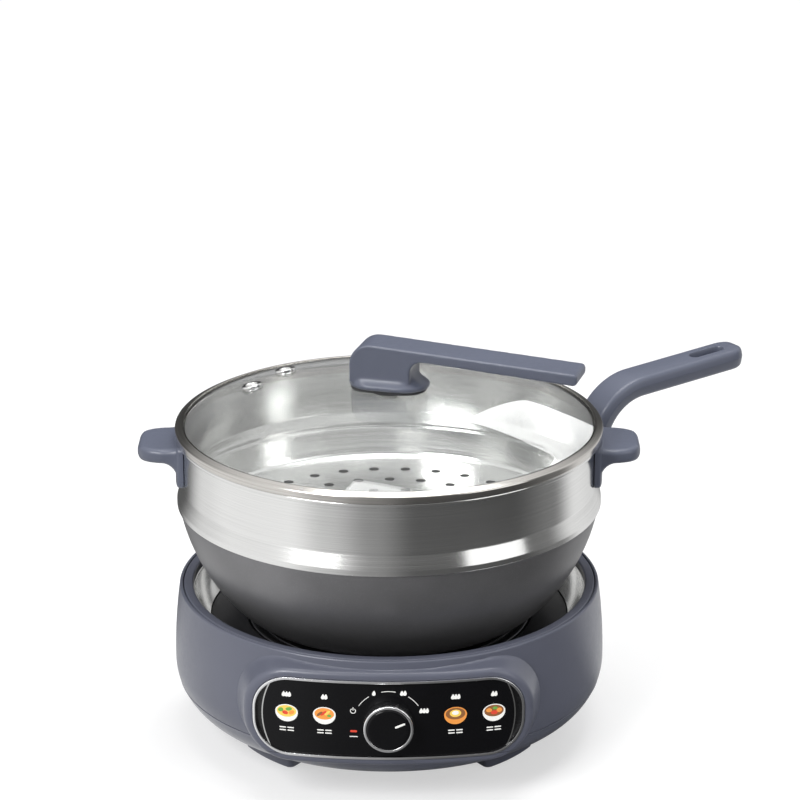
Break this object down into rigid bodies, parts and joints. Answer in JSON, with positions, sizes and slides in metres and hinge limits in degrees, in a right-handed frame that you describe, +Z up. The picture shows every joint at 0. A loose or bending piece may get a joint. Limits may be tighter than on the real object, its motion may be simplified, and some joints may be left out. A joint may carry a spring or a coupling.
{
  "type": "electric wok",
  "caption": "Countertop electric wok: a heated round base with a front control panel, a lift-out wok pan with a long handle, a steamer tier and a domed glass lid with its own handle.",
  "frame": {"origin": "on the axis of the base, at table level", "axes": "-Y is the front with the control panel, +X is to the right as the panel is read, +Z is up"},
  "size_m": [0.4766, 0.3624, 0.3067],
  "materials": {
    "body_colour": "satin blue-grey",
    "handle_colour": "satin blue-grey, heat-resistant",
    "foot_colour": "satin blue-grey",
    "pad_rubber": "matt",
    "bright_steel": "bright, finely brushed round the axis",
    "heat_ring": "dark satin",
    "heating_plate": "dark grey coating, slightly grainy",
    "plated_steel": "zinc plated",
    "element_steel": "heat-tinted",
    "ceramic_white": "glazed",
    "black_metal": "matt black",
    "spring_steel": "plain",
    "chrome": "polished",
    "black_plastic": "satin",
    "black_gloss": "high gloss",
    "lens_red": "translucent",
    "board_green": "solder mask",
    "component_black": "moulded",
    "pin_metal": "plain",
    "pan_coating": "non-stick coating with fine pale speckle",
    "polished_steel": "polished stainless",
    "brushed_steel": "satin stainless",
    "lid_glass": "clear tempered",
    "gasket": "matt silicone",
    "pointer_white": "plain",
    "sensor_metal": "fine turned"
  },
  "bodies": {
    "base": {"upper_housing": "body_colour", "lower_housing": "body_colour", "top_ring": "body_colour", "inner_bowl": "bright_steel", "heat_ring": "heat_ring", "heating_plate": "heating_plate", "heater_tray": "plated_steel", "plate_posts": "plated_steel", "heating_element": "element_steel", "element_terminals": "element_steel", "thermal_fuse": "ceramic_white", "bowl_screws": "plated_steel", "sensor_holder": "black_metal", "sensor_spring": "spring_steel", "foot_front_left": "foot_colour", "pad_front_left": "pad_rubber", "foot_front_right": "foot_colour", "pad_front_right": "pad_rubber", "foot_rear_left": "foot_colour", "pad_rear_left": "pad_rubber", "foot_rear_right": "foot_colour", "pad_rear_right": "pad_rubber", "panel_bezel": "chrome", "panel_tray": "black_plastic", "panel_glass": "black_gloss", "indicator_lens": "lens_red", "rotary_switch": "black_plastic", "control_board": "board_green", "board_parts": "component_black", "board_screws": "plated_steel", "power_inlet": "black_plastic", "inlet_pins": "pin_metal"},
    "pan": {"pan_shell": "pan_coating", "pan_rivets": "polished_steel", "pan_bracket": "polished_steel", "pan_handle": "handle_colour", "pan_handle_screw": "plated_steel"},
    "steamer": {"steamer_body": "brushed_steel", "steamer_rivets": "polished_steel", "steamer_handle_right": "handle_colour", "steamer_handle_left": "handle_colour"},
    "lid": {"lid_glass": "lid_glass", "lid_rim": "polished_steel", "vent_rear": "polished_steel", "vent_left": "polished_steel", "lid_gasket": "gasket", "lid_handle": "handle_colour", "lid_washer": "polished_steel", "lid_screw": "polished_steel"},
    "dial": {"dial_ring": "chrome", "dial_cap": "black_gloss", "dial_pointer": "pointer_white", "dial_shaft": "plated_steel"},
    "sensor": {"sensor_cap": "sensor_metal", "sensor_stem": "plated_steel"}
  },
  "joints": [
    {"name": "pan_lift", "type": "slide", "parent": "base", "child": "pan", "axis": [0, 0, 1], "range_m": [0, 0.06]},
    {"name": "steamer_lift", "type": "slide", "parent": "pan", "child": "steamer", "axis": [0, 0, 1], "range_m": [0, 0.085]},
    {"name": "lid_lift", "type": "slide", "parent": "steamer", "child": "lid", "axis": [0, 0, 1], "range_m": [0, 0.105]},
    {"name": "dial_turn", "type": "hinge", "parent": "base", "child": "dial", "pos_m": [0, -0.1663, 0.068], "axis": [0, -1, 0], "range_deg": [0, 135]},
    {"name": "sensor_travel", "type": "slide", "parent": "base", "child": "sensor", "axis": [0, 0, 1], "range_m": [0, 0.0054], "deforming": ["sensor_spring"]}
  ],
  "couplings": [
    {"joint": "sensor_travel", "follows": "pan_lift", "ratio": 0.09}
  ]
}
